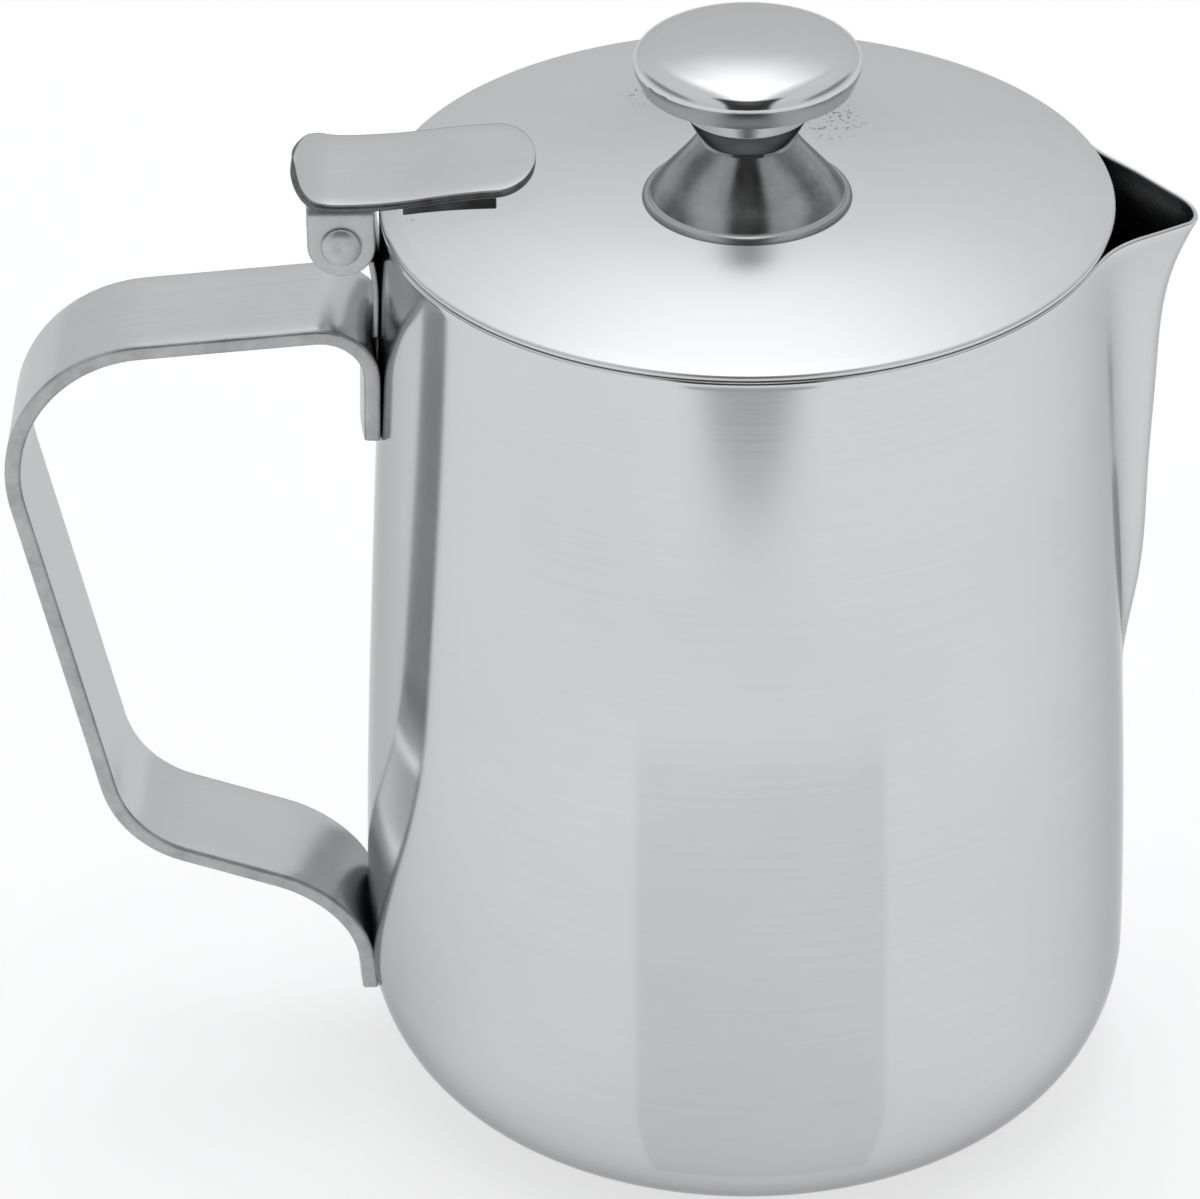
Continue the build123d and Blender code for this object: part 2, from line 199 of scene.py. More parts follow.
def bent_path(corners, radii, step):
    """Points about a step apart along straight runs joined by tangent arcs."""
    corners = [np.array(corner, float) for corner in corners]
    runs, last = [], corners[0]
    for before, corner, after, radius in zip(corners, corners[1:], corners[2:], radii):
        arriving = (corner - before) / np.linalg.norm(corner - before)
        leaving = (after - corner) / np.linalg.norm(after - corner)
        turn = math.acos(np.clip(arriving @ leaving, -1, 1))
        cut = radius * math.tan(turn / 2)
        start, end = corner - arriving * cut, corner + leaving * cut
        inward = leaving - arriving
        centre = corner + inward / np.linalg.norm(inward) * radius / math.cos(turn / 2)
        runs.append(straight(last, start, max(2, int(np.linalg.norm(start - last) / step))))
        share = np.linspace(0, 1, max(8, int(radius * turn / step)))[:, None]
        from_start = (start - centre) * np.sin((1 - share) * turn)
        spokes = from_start + (end - centre) * np.sin(share * turn)
        runs.append(centre + spokes / math.sin(turn))
        last = end
    gap = np.linalg.norm(corners[-1] - last)
    runs.append(straight(last, corners[-1], max(2, int(gap / step))))
    return joined(*runs)


def strip(name, path, across, half_width, thickness, edge, materials, corners=None, adjust=None):
    """Bent sheet-metal strip along a path of 3-D points, with its width along the across direction.

    half_width is a number or one for each point of the path, and edge rounds the long edges.
    corners has a (length, width) pair for the round corners at the start, and one for the end.
    """
    path = np.array(path, float)
    across = np.array(across, float)
    travelled = np.concatenate(([0], np.cumsum(np.linalg.norm(np.diff(path, axis=0), axis=1))))
    total = travelled[-1]
    half = thickness / 2
    widths = np.broadcast_to(np.array(half_width, float), (len(path),))
    quarter = 1 - np.cos(np.linspace(0, math.pi / 2, 12))
    stations = [travelled, edge * quarter, total - edge * quarter]
    corners = corners or ((0, 0), (0, 0))
    stations += [corners[0][0] * quarter, total - corners[1][0] * quarter]
    stations = np.unique(np.round(np.concatenate(stations), 4))
    spine = np.stack([np.interp(stations, travelled, path[:, k]) for k in range(3)], -1)
    along = np.gradient(spine, stations, axis=0)
    up = np.cross(along, across)
    up /= np.linalg.norm(up, axis=1)[:, None]
    wide = np.interp(stations, travelled, widths)
    for (length, width), gap in zip(corners, (stations, total - stations)):
        if length:
            inside = np.clip(1 - gap / length, 0, 1)
            wide = wide - width * (1 - np.sqrt(1 - inside**2))
    inside = np.clip(edge - np.minimum(stations, total - stations), 0, edge)
    rounding = edge - np.sqrt(edge**2 - inside**2)
    flat, bend = 9, 5
    rings = []
    for point, normal, width, inset in zip(spine, up, wide, rounding):
        width, depth = max(width - inset, 0), max(half - inset, 0)
        radius = min(edge - inset, width, depth)
        quarter_turn = np.linspace(0, 90, bend + 1)[1:-1]
        top = straight((radius - width, depth), (width - radius, depth), flat)
        side = joined_arcs(width - radius, depth - radius, radius, quarter_turn)
        loop = np.concatenate([top, side, -top, -side])
        rings.append(point + loop[:, :1] * across + loop[:, 1:] * normal)
    rings = np.array(rings)
    if adjust:
        rings = adjust(rings, stations)
    side_count = 2 * (bend - 1) + 2
    size = 2 * (flat + side_count)
    on_edge = [flat - 1 <= j % (flat + side_count) < flat + side_count for j in range(size)]
    slots = (lambda i, j: int(on_edge[j])) if len(materials) > 1 else None
    return make_mesh(name, rings, materials, face_slots=slots, capped=True)


def joined_arcs(across, up, radius, turns):
    """Right-hand side of a rounded loop, from its upper corner to its lower corner."""
    upper = [
        (across + radius * math.sin(math.radians(a)), up + radius * math.cos(math.radians(a)))
        for a in turns
    ]
    upper.append((across + radius, up))
    lower = [(x, -z) for x, z in reversed(upper)]
    return np.array(upper + lower)


# --- materials -------------------------------------------------------------------------------
STRETCH = 90  # length of a polishing line over its width
FACE_LINES = 1.3  # how much the lines of a turned face follow its radius
LINE_SHARE, CLOUD_SHARE = 0.35, 0.65
BLEND_RANGE = (0.35, 0.65)
MARK_PATCHES = (((-13.2, 26.5), 4.0), ((12.2, 19.0), 5.0), ((-45.0, -8.0), 1.5))  # (x, y), radius
MARK_LEVEL = 136.5
MARK_SCALE = 1500.0
MARK_STRENGTH = 0.7
MARK_TONE = (0.10, 0.10, 0.10)


def new_material(name):
    """An empty node material with a principled shader: the material, its nodes, links, shader."""
    material = bpy.data.materials.new(name)
    material.use_nodes = True
    nodes, links = material.node_tree.nodes, material.node_tree.links
    return material, nodes, links, nodes["Principled BSDF"]


def math_node(nodes, links, operation, *values):
    """One Math node; a value is a number or a socket."""
    node = nodes.new("ShaderNodeMath")
    node.operation = operation
    for socket, value in zip(node.inputs, values):
        if isinstance(value, (int, float)):
            socket.default_value = value
        else:
            links.new(value, socket)
    return node.outputs[0]


def map_range(nodes, links, value, low, high, to_low, to_high):
    """Clamped linear change of a value from one range to another."""
    node = nodes.new("ShaderNodeMapRange")
    links.new(value, node.inputs["Value"])
    for name, number in (
        ("From Min", low),
        ("From Max", high),
        ("To Min", to_low),
        ("To Max", to_high),
    ):
        node.inputs[name].default_value = number
    return node.outputs["Result"]


def grain_vector(nodes, links, lay, fine, coarse):
    """Coordinates that stretch a noise into lines: round the axis for turned, along for drawn."""
    where = nodes.new("ShaderNodeTexCoord").outputs["Object"]
    split = nodes.new("ShaderNodeSeparateXYZ")
    links.new(where, split.inputs[0])
    x, y, z = split.outputs
    join = nodes.new("ShaderNodeCombineXYZ")
    if lay == "turned":
        radius = math_node(
            nodes,
            links,
            "SQRT",
            math_node(
                nodes,
                links,
                "ADD",
                math_node(nodes, links, "MULTIPLY", x, x),
                math_node(nodes, links, "MULTIPLY", y, y),
            ),
        )
        outward = math_node(nodes, links, "MULTIPLY", radius, FACE_LINES)
        line = math_node(nodes, links, "ADD", z, outward)
        parts = ((x, coarse), (y, coarse), (line, fine))
    elif lay == "drawn":
        parts = ((x, coarse), (y, fine), (z, coarse))
    else:
        parts = ((x, fine), (y, fine), (z, fine))
    for socket, (value, scale) in zip(join.inputs, parts):
        links.new(math_node(nodes, links, "MULTIPLY", value, scale), socket)
    return join.outputs[0]


def noise(nodes, links, vector, scale, detail=3.0, roughness=0.55):
    """Noise texture value on the given coordinates."""
    node = nodes.new("ShaderNodeTexNoise")
    links.new(vector, node.inputs["Vector"])
    node.inputs["Scale"].default_value = scale
    node.inputs["Detail"].default_value = detail
    node.inputs["Roughness"].default_value = roughness
    return node.outputs["Fac"]


def colour_mix(nodes, links, factor, first, second):
    """Mix of two colours, numbers or sockets, by a factor socket."""
    node = nodes.new("ShaderNodeMix")
    node.data_type = "RGBA"
    links.new(factor, node.inputs["Factor"])
    for index, value in ((6, first), (7, second)):
        if isinstance(value, tuple):
            node.inputs[index].default_value = (*value, 1)
        else:
            links.new(value, node.inputs[index])
    return node.outputs[2]


def bump(nodes, links, height, distance, strength=1.0, before=None):
    """Bump node; distance is the relief's depth in metres."""
    node = nodes.new("ShaderNodeBump")
    node.inputs["Strength"].default_value = strength
    node.inputs["Distance"].default_value = distance
    links.new(height, node.inputs["Height"])
    if before is not None:
        links.new(before, node.inputs["Normal"])
    return node.outputs["Normal"]


def steel(
    name, light, dark, smooth, rough, lay="turned", fine=2600.0, relief=1e-7, cloud=28.0, edge=0.74
):
    """Steel with fine lines in its polish, cloudy roughness and slight change of tone.

    smooth and rough are the limits of its roughness, and edge tints it at grazing angles.
    """
    material, nodes, links, shader = new_material(name)
    shader.inputs["Metallic"].default_value = 1.0
    shader.inputs["Specular Tint"].default_value = (edge, edge, edge, 1)
    lines = noise(nodes, links, grain_vector(nodes, links, lay, fine, fine / STRETCH), 1.0, 4.0)
    clouds = noise(nodes, links, nodes.new("ShaderNodeTexCoord").outputs["Object"], cloud, 4.0)
    blend = math_node(
        nodes,
        links,
        "ADD",
        math_node(nodes, links, "MULTIPLY", lines, LINE_SHARE),
        math_node(nodes, links, "MULTIPLY", clouds, CLOUD_SHARE),
    )
    tone = colour_mix(nodes, links, map_range(nodes, links, blend, *BLEND_RANGE, 0, 1), dark, light)
    links.new(tone, shader.inputs["Base Color"])
    roughness = map_range(nodes, links, blend, *BLEND_RANGE, smooth, rough)
    links.new(roughness, shader.inputs["Roughness"])
    links.new(bump(nodes, links, lines, relief), shader.inputs["Normal"])
    return material


def grey(value):
    """Steel's slightly blue grey of a given brightness."""
    return (0.985 * value, 0.995 * value, 1.01 * value)


def marked(material):
    """Adds a few small dark marks to the lid's steel on patches near the knob and the hinge."""
    nodes, links = material.node_tree.nodes, material.node_tree.links
    shader = nodes["Principled BSDF"]
    where = nodes.new("ShaderNodeTexCoord").outputs["Object"]
    grit = map_range(nodes, links, noise(nodes, links, where, MARK_SCALE, 1.0), 0.60, 0.66, 0, 1)
    share = None
    for (x, y), radius in MARK_PATCHES:
        gap = nodes.new("ShaderNodeVectorMath")
        gap.operation = "DISTANCE"
        links.new(where, gap.inputs[0])
        gap.inputs[1].default_value = (x * MM, y * MM, MARK_LEVEL * MM)
        near = map_range(nodes, links, gap.outputs["Value"], 0.4 * radius * MM, radius * MM, 1, 0)
        share = near if share is None else math_node(nodes, links, "MAXIMUM", share, near)
    spread = math_node(nodes, links, "MULTIPLY", grit, share)
    mark = math_node(nodes, links, "MULTIPLY", spread, MARK_STRENGTH)
    plain = shader.inputs["Base Color"].links[0].from_socket
    links.new(colour_mix(nodes, links, mark, plain, MARK_TONE), shader.inputs["Base Color"])
    return material


mirror = steel("polished_steel", grey(0.64), grey(0.60), 0.09, 0.14, edge=0.62)
lid_mirror = marked(steel("lid_steel", grey(0.645), grey(0.625), 0.30, 0.35, relief=3e-8))
inside_steel = steel("inside_steel", grey(0.42), grey(0.28), 0.22, 0.36, relief=8e-7)
knob_steel = steel("knob_steel", grey(0.63), grey(0.59), 0.08, 0.14, relief=3e-8)
# partly the foot's own satin, mottled finish and partly painted shade: a much darker tone than the
# other steel, in place of the shade and dark reflections under the cup
foot_painted_shade_steel = steel("foot_painted_shade_steel", grey(0.38), grey(0.21), 0.16, 0.30, relief=2e-7, cloud=200.0)
# painted shade: near-black steel for the cup's stub, in place of the dark reflections and shade
# under the cup's flare
stub_painted_shade_steel = steel("stub_painted_shade_steel", grey(0.20), grey(0.12), 0.20, 0.30, relief=3e-8, edge=0.2)
ring_steel = steel("ring_steel", grey(0.42), grey(0.34), 0.24, 0.34, relief=2e-7)
satin = steel("satin_steel", grey(0.62), grey(0.58), 0.20, 0.27, "drawn", relief=5e-8, cloud=40.0)
cut_edge = steel("cut_edge_steel", grey(0.52), grey(0.34), 0.34, 0.50, "even", 900.0, 5e-6, 240.0)
pin_steel = steel("pin_steel", grey(0.55), grey(0.44), 0.30, 0.42, "even", 700.0, 3e-6, 200.0)
# painted shade: near-black steel for the lever's edges, its flanges and the mouth ring's outer
# face, in place of the shadow in the gaps under the lever and under the lid
painted_shade_edge = steel("dark_edge_steel", grey(0.20), grey(0.11), 0.34, 0.50, "even", 900.0, 3e-6, 240.0)
plated = steel("plated_brass", grey(0.94), grey(0.88), 0.18, 0.32, relief=8e-7)


# --- jug body --------------------------------------------------------------------------------
SPOUT_LEVELS = (  # height, reach of the fold, radius of its nose
    (40.0, 44.0, 2.6),
    (56.0, 50.6, 3.0),
    (68.0, 53.4, 3.4),
    (77.0, 54.8, 3.8),
    (92.0, 55.3, 4.4),
    (108.0, 55.9, 4.8),
    (121.0, 56.9, 5.2),
    (127.0, 58.6, 5.3),
    (133.0, 61.4, 5.4),
)
HALF_FOLD = math.radians(48.5)
SPOUT_START = 46.0
SPOUT_MOUTH = ((53.0, 133.4), (57.0, 132.6), (62.4, 131.6))
BODY_COLUMNS = 400
OUTER_ROWS, INNER_ROWS = 130, 90
FOLD_CROWDING = 0.6  # gathers the mesh's columns at the spout
DIP_START = 92.0  # rows above this height lean to the rim's dip
RIM_PASSES = 12
HOLLOW_LEVELS = (56, 75, 100, RIM_HEIGHT)
HOLLOW_WIDTHS = (1.5, 3.0, 6.0, 5.0)
fold_line = smooth_line(SPOUT_LEVELS, 160)
rim_line = smooth_line(((SPOUT_START, RIM_HEIGHT), *SPOUT_MOUTH), 60, (1, 0), (1, -0.2))
wall_line = smooth_line(
    (
        (BELLY_RADIUS, CORNER_HEIGHT),
        (BELLY_RADIUS - 0.1, 29.0),
        (NECK_RADIUS, NECK_HEIGHT),
        (RIM_RADIUS, RIM_HEIGHT),
    ),
    120,
    (0, 1),
    (-0.02, 1),
)


def wedge_radius(height, angle, inset):
    """Distance from the axis to the spout's fold at a height and an angle from the fold."""
    reach = np.interp(height, fold_line[:, 0], fold_line[:, 1])
    nose = np.interp(height, fold_line[:, 0], fold_line[:, 2])
    centre = reach - nose
    nose = nose - inset
    turn = np.minimum(np.abs(angle), HALF_FOLD)
    side = np.arctan2(nose * math.sin(HALF_FOLD), centre + nose * math.cos(HALF_FOLD))
    flank = (centre * math.cos(HALF_FOLD) + nose) / np.cos(turn - HALF_FOLD)
    tip = centre * np.cos(turn) + np.sqrt(np.maximum(nose**2 - (centre * np.sin(turn)) ** 2, 0))
    return np.where(turn < side, tip, flank)


def wall_radius(height, angle, inset):
    """Radius of the wall with the spout pressed into it, with a hollow where the two meet."""
    plain = np.interp(height, wall_line[:, 1], wall_line[:, 0]) - inset
    wedge = wedge_radius(height, angle, inset)
    width = np.interp(height, HOLLOW_LEVELS, HOLLOW_WIDTHS)
    share = np.maximum(width - np.abs(plain - wedge), 0) / width
    return np.maximum(plain, wedge) + share**3 * width / 6


def rim_level(angle, inset):
    """Height of the rim at an angle, dipping along the spout."""
    level = np.full_like(angle, RIM_HEIGHT)
    for _ in range(RIM_PASSES):
        x = wall_radius(level, angle, inset) * np.cos(angle)
        level = np.where(x > SPOUT_START, np.interp(x, rim_line[:, 0], rim_line[:, 1]), RIM_HEIGHT)
    return level


def body_rings(inset, wall_rows):
    """Loops of the body's skin at an inset from its outer face, from the base's centre up."""
    steps = np.arange(BODY_COLUMNS) * 2 * math.pi / BODY_COLUMNS
    angle = np.angle(np.exp(1j * (steps - FOLD_CROWDING * np.sin(steps))))
    around = np.stack([np.cos(angle), np.sin(angle), 0 * angle], -1)
    centre = (BASE_RADIUS, CORNER_HEIGHT)
    radii = (BELLY_RADIUS - BASE_RADIUS - inset, CORNER_HEIGHT - inset)
    base = straight((0, inset), (BASE_RADIUS - 1, inset), 9)
    corner = arc(centre, radii, 270, 360, 30)[:-1]
    rings = [
        around * radius + np.array((0, 0, height)) for radius, height in joined(base, corner)
    ]
    top = rim_level(angle, inset) - WALL / 2
    for height in np.linspace(CORNER_HEIGHT, RIM_HEIGHT, wall_rows):
        share = max(height - DIP_START, 0) / (RIM_HEIGHT - DIP_START)
        level = (height if height < DIP_START else DIP_START) + share * (top - DIP_START)
        level = np.broadcast_to(level, angle.shape)
        radius = wall_radius(level, angle, inset)
        rings.append(around * radius[:, None] + np.stack([0 * level, 0 * level, level], -1))
    return rings


def make_body():
    """Outer skin, rounded rim and inner skin as one closed mesh."""
    outer = body_rings(0, OUTER_ROWS)
    inner = body_rings(WALL, INNER_ROWS)
    middle, half = (outer[-1] + inner[-1]) / 2, (outer[-1] - inner[-1]) / 2
    height = np.linalg.norm(half, axis=1)[:, None] * np.array((0, 0, 1))
    rim = [
        middle + half * math.cos(turn) + height * math.sin(turn)
        for turn in np.linspace(0, math.pi, 9)[1:-1]
    ]
    rows = outer + rim + inner[::-1]
    outside = len(outer) + len(rim) // 2
    return make_mesh(
        "body_skin",
        rows,
        [mirror, inside_steel],
        face_slots=lambda i, j: int(i > outside),
    )


body_skin = make_body()
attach(body_skin, "jug")
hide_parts("jug_body")


def body_radius(height):
    """Radius of the body away from the spout, on its wall or on its lower corner."""
    drop = max(CORNER_HEIGHT - height, 0) / CORNER_HEIGHT
    corner = BASE_RADIUS + (BELLY_RADIUS - BASE_RADIUS) * math.sqrt(1 - drop**2)
    return corner if drop else float(np.interp(height, wall_line[:, 1], wall_line[:, 0]))


# --- handle ----------------------------------------------------------------------------------
STRAP_THICKNESS = 2.2
STRAP_EDGE = 0.5
STRAP_GAP = 0.05
STRAP_STEP = 1.2
STRAP_CORNER = (0.8, 0.8)
WRAP_END, WRAP_LENGTH = 22.0, 14.0
UPPER_TAB = (102.6, 119.5)
LOWER_TAB = (12.3, 27.3)
HANDLE_TOP = (-104.5, 114.6)
HANDLE_BOTTOM = (-87.6, 38.3)
HANDLE_BENDS = (6.0, 19.8, 15.3, 16.8)


def in_profile(points):
    """Points of the XZ plane as 3-D points."""
    return np.stack([points[:, 0], np.zeros(len(points)), points[:, 1]], -1)


def wrap_tabs(rings, stations):
    """Bends both ends of the strap round the body, and leaves it flat between them."""
    total = stations[-1]
    for rows, distance in zip(rings, stations):
        near_end = min(distance, total - distance)
        share = np.clip((WRAP_END - near_end) / WRAP_LENGTH, 0, 1)
        share = share * share * (3 - 2 * share)
        radius = body_radius(float(rows[:, 2].mean()))
        rows[:, 0] += share * (radius - np.sqrt(radius**2 - rows[:, 1] ** 2))
    return rings


def make_strap():
    """The handle: one strap bent in the XZ plane, with a tab on the body at each end."""
    offset = STRAP_THICKNESS / 2 + STRAP_GAP
    corners = (
        (-body_radius(UPPER_TAB[0]) - offset, UPPER_TAB[0]),
        (-body_radius(UPPER_TAB[1]) - offset - 0.3, UPPER_TAB[1]),
        HANDLE_TOP,
        HANDLE_BOTTOM,
        (-body_radius(LOWER_TAB[1]) - offset, LOWER_TAB[1]),
        (-body_radius(LOWER_TAB[0]) - offset - 0.2, LOWER_TAB[0]),
    )
    path = in_profile(bent_path(corners, HANDLE_BENDS, STRAP_STEP))
    return strip(
        "handle",
        path,
        (0, 1, 0),
        strap_high.y,
        STRAP_THICKNESS,
        STRAP_EDGE,
        [satin, cut_edge],
        corners=(STRAP_CORNER, STRAP_CORNER),
        adjust=wrap_tabs,
    )


handle = make_strap()
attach(handle, "jug")
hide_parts("handle_strap")


# --- hinge -----------------------------------------------------------------------------------
LEAF_THICKNESS = 0.8
LEAF_GAP = 1.1
LEAF_EDGE = 0.25
LEAF_BEND = 126.0
LEAF_HALF_WIDTH = 6.5
ROLL_END = 292
SHOULDER_START, SHOULDER_LENGTH = 12.0, 2.0
SHANK_RADIUS = 1.5
HEAD_HEIGHT = 0.9


def make_bracket():
    """Leaf on the body whose upper end is rolled round the rivet."""
    half = LEAF_THICKNESS / 2
    knuckle = bracket_high.z - hinge_z
    foot = bracket_low.z
    outer = -RIM_RADIUS - LEAF_GAP
    roll = arc((hinge_x, hinge_z), knuckle - half, 0, ROLL_END, 60)
    lead = smooth_line(
        (
            (outer + half, foot),
            (outer + half + 0.05, LEAF_BEND),
            (hinge_x + knuckle - half, hinge_z),
        ),
        30,
        (0, 1),
        (0, 1),
    )
    path = joined(lead, roll)
    rise = np.concatenate(([0], np.cumsum(np.linalg.norm(np.diff(path, axis=0), axis=1))))
    shoulder = np.clip((rise - SHOULDER_START) / SHOULDER_LENGTH, 0, 1)
    shoulder = shoulder * shoulder * (3 - 2 * shoulder)
    width = LEAF_HALF_WIDTH + (bracket_high.y - LEAF_HALF_WIDTH) * shoulder
    return strip(
        "hinge_leaf",
        in_profile(path),
        (0, 1, 0),
        width,
        LEAF_THICKNESS,
        LEAF_EDGE,
        [satin, cut_edge],
        corners=((1.0, 1.0), (0.4, 0.4)),
    )


hinge_leaf = make_bracket()
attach(hinge_leaf, "jug")
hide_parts("hinge_bracket")


def make_rivet():
    """Rivet through the knuckle, with a peened head on each side."""
    head = rivet_high.z - hinge_z
    outer, seat = rivet_high.y, rivet_high.y - HEAD_HEIGHT
    peened = ((head - 0.15, seat + 0.56), (1.7, outer - 0.06), (0.9, outer), (0, outer - 0.08))
    side = joined(
        straight((SHANK_RADIUS, 0), (SHANK_RADIUS, seat)),
        straight((SHANK_RADIUS, seat), (head - 0.1, seat)),
        arc((head - 0.3, seat + 0.3), 0.3, -60, 60, 6),
        smooth_line(peened, 12),
    )
    below = side[::-1] * np.array((1, -1))
    return turned("rivet", joined(below, side), [pin_steel], 64, axis="y", closed=False)


rivet = make_rivet()
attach(rivet, "lid")
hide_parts("hinge_rivet")


# --- lid -------------------------------------------------------------------------------------
LID_SHEET = 0.8
SEAT_RADIUS = 15.2
SEAT_HEIGHT = knob_ring_low.z
CROWN_RADIUS = 33.0
CROWN_DROP = 1.35
LID_RADIUS = lid_high.y
BEAD = 0.48
BEAD_START = 80.0
BEAD_FOOT = 48.0
SHADED_INSET = 2.2
CROWN_CURVATURE = 1 / 300.0


def make_lid():
    """Pressed lid: seat for the knob, low crown and a rolled bead round the rim."""
    bead_centre = np.array((LID_RADIUS - BEAD, lid_low.z + BEAD + 0.02))
    bead = arc(bead_centre, BEAD, BEAD_START, -90, 22)
    crown_end = bead[0]
    crown = smooth_line(
        ((SEAT_RADIUS, SEAT_HEIGHT), (CROWN_RADIUS, lid_high.z - 0.02), crown_end),
        60,
        (1, 0.05),
        (1, -0.17),
    )
    under = crown[::-1] - np.array((0, LID_SHEET))
    outline = joined(
        straight((0, SEAT_HEIGHT), (SEAT_RADIUS, SEAT_HEIGHT), 6),
        crown,
        bead,
        straight(bead[-1], (BEAD_FOOT, bead[-1][1])),
        under,
        straight((SEAT_RADIUS, SEAT_HEIGHT - LID_SHEET), (0, SEAT_HEIGHT - LID_SHEET), 6),
    )
    lid = turned("lid_skin", outline, [lid_mirror], 400, closed=False)
    even_shading(lid.data)
    return lid


def even_shading(mesh):
    """Shades the lid's upper face as one low dome, so that its seat stays unnoticed."""
    normals = []
    for vertex in mesh.vertices:
        x, y, z = vertex.co / MM
        radius = math.hypot(x, y)
        upper = z > SEAT_HEIGHT - LID_SHEET / 3 and vertex.normal.z > 0.5
        if upper and radius < LID_RADIUS - SHADED_INSET:
            normals.append(Vector((x * CROWN_CURVATURE, y * CROWN_CURVATURE, 1)).normalized())
        else:
            normals.append(Vector((0, 0, 0)))
    mesh.normals_split_custom_set_from_vertices(normals)


lid_skin = make_lid()
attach(lid_skin, "lid")
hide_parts("lid_shell")


RING_WIDTH = 3.5
SKIRT_RADIUS = 47.8
RING_FACE = range(1, 12)  # loops of the ring's outer face, drawn in painted shade as the dark seam under the lid


def make_inner_ring():
    """Ring under the lid with a skirt that goes into the jug's mouth, its corners eased."""
    ring_out, ring_in = ring_high.y, ring_high.y - RING_WIDTH
    skirt = SKIRT_RADIUS
    top, seat, foot = ring_high.z, RIM_HEIGHT + 0.05, ring_low.z
    outline = joined(
        ((ring_in, top), (ring_out - 0.7, top)),
        arc((ring_out - 0.7, top - 0.2), 0.2, 90, 0, 4),
        arc((ring_out - 0.2, seat + 0.2), 0.2, 90, -90, 7),
        arc((skirt + 0.3, seat - 0.3), 0.3, 90, 180, 5),
        arc((skirt - 0.2, foot + 0.2), 0.2, 0, -90, 4),
        arc((skirt - 0.6, foot + 0.2), 0.2, 270, 180, 4),
        ((skirt - 0.8, seat), (ring_in + 0.2, seat)),
        arc((ring_in + 0.2, seat + 0.2), 0.2, 270, 180, 4),
        ((ring_in, top - 0.05),),
    )
    return turned(
        "mouth_ring",
        outline,
        [inside_steel, painted_shade_edge],
        240,
        face_slots=lambda i, j: int(i in RING_FACE),
    )


mouth_ring = make_inner_ring()
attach(mouth_ring, "lid")
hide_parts("lid_inner_ring")


# --- lever -----------------------------------------------------------------------------------
PLATE_THICKNESS = 1.1
PLATE_EDGE = 0.5
EAR_THICKNESS = 1.0
EAR_EDGE = 0.25
EAR_RADIUS = 4.55
EAR_TOP = 138.6
EAR_FOLD_REACH, EAR_FOLD_RADIUS = 2.4, 1.2
LEVER_LINE = ((-58.1, 139.2), (-53.0, 138.65), (-46.5, 139.05), (-38.0, 140.15))
TONGUE_HEIGHT = 140.65
TONGUE_HALF_WIDTH = 9.9
TONGUE_ROUND = 5.2
THUMB_ROUND = 4.5
FLANGE = (-46.0, -33.5)
FLANGE_FACE = 7.8
FLANGE_THICKNESS = 1.2
FLANGE_EDGE = 0.2
FLANGE_SINK = 0.1
lever_line = smooth_line(
    ((lever_low.x + 0.4, lever_high.z - 0.4), *LEVER_LINE, (lever_high.x, TONGUE_HEIGHT)),
    90,
    (0.8, -1),
    (1, 0.02),
)


def make_lever():
    """Thumb plate that curls up at its end, dips over the hinge and rises over the lid."""
    start = hinge_x + EAR_RADIUS + 1
    taper = np.clip((lever_line[:, 0] - start) / (lever_high.x - start), 0, 1)
    width = lever_high.y - (lever_high.y - TONGUE_HALF_WIDTH) * taper
    return strip(
        "thumb_lever",
        in_profile(lever_line),
        (0, 1, 0),
        width,
        PLATE_THICKNESS,
        PLATE_EDGE,
        # painted shade: the plate's rounded edges are drawn near-black, as the shadowed edge under
        # the lever
        [satin, painted_shade_edge],
        corners=((THUMB_ROUND, lever_high.y), (TONGUE_ROUND, TONGUE_HALF_WIDTH)),
    )


def make_flange(side):
    """Wall that carries the tongue on the lid, drawn wholly in painted shade as the dark gap under
    the lever.
    """
    along = np.linspace(*FLANGE, 12)
    top = np.interp(along, lever_line[:, 0], lever_line[:, 1])
    share = (-along - CROWN_RADIUS) / (LID_RADIUS - BEAD - CROWN_RADIUS)
    bottom = lid_high.z - CROWN_DROP * share**2 - FLANGE_SINK
    middle = side * (FLANGE_FACE - FLANGE_THICKNESS / 2)
    path = np.stack([along, np.full(len(along), middle), (top + bottom) / 2], -1)
    name = "flange_near" if side < 0 else "flange_far"
    half = (top - bottom) / 2
    # painted shade: the whole flange is near-black steel, as the shadow under the tongue
    return strip(name, path, (0, 0, 1), half, FLANGE_THICKNESS, FLANGE_EDGE, [painted_shade_edge])


def make_ear(side):
    """One ear, folded down from the plate and round at the rivet."""
    outer = side * (lever_high.y - EAR_THICKNESS / 2)
    corners = (
        (outer - side * EAR_FOLD_REACH, EAR_TOP),
        (outer, EAR_TOP),
        (outer, hinge_z - EAR_RADIUS),
    )
    path = bent_path(corners, (EAR_FOLD_RADIUS,), 0.5)
    points = np.stack([np.full(len(path), hinge_x), path[:, 0], path[:, 1]], -1)
    name = "ear_near" if side < 0 else "ear_far"
    return strip(
        name,
        points,
        (1, 0, 0),
        EAR_RADIUS,
        EAR_THICKNESS,
        EAR_EDGE,
        [pin_steel, cut_edge],
        ((0.3, 0.3), (EAR_RADIUS, EAR_RADIUS)),
    )


thumb_lever = make_lever()
for lever_piece in (thumb_lever, make_ear(-1), make_ear(1), make_flange(-1), make_flange(1)):
    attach(lever_piece, "lid")
    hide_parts("lid_lever")
    # the satin lid is kept clear of the lever's dark reflection
    lever_piece.visible_glossy = lever_piece.name.startswith("ear")


# --- knob ------------------------------------------------------------------------------------
SHEET = 0.8
SCREW_RADIUS = 2.0
STUB_POINTS = 14


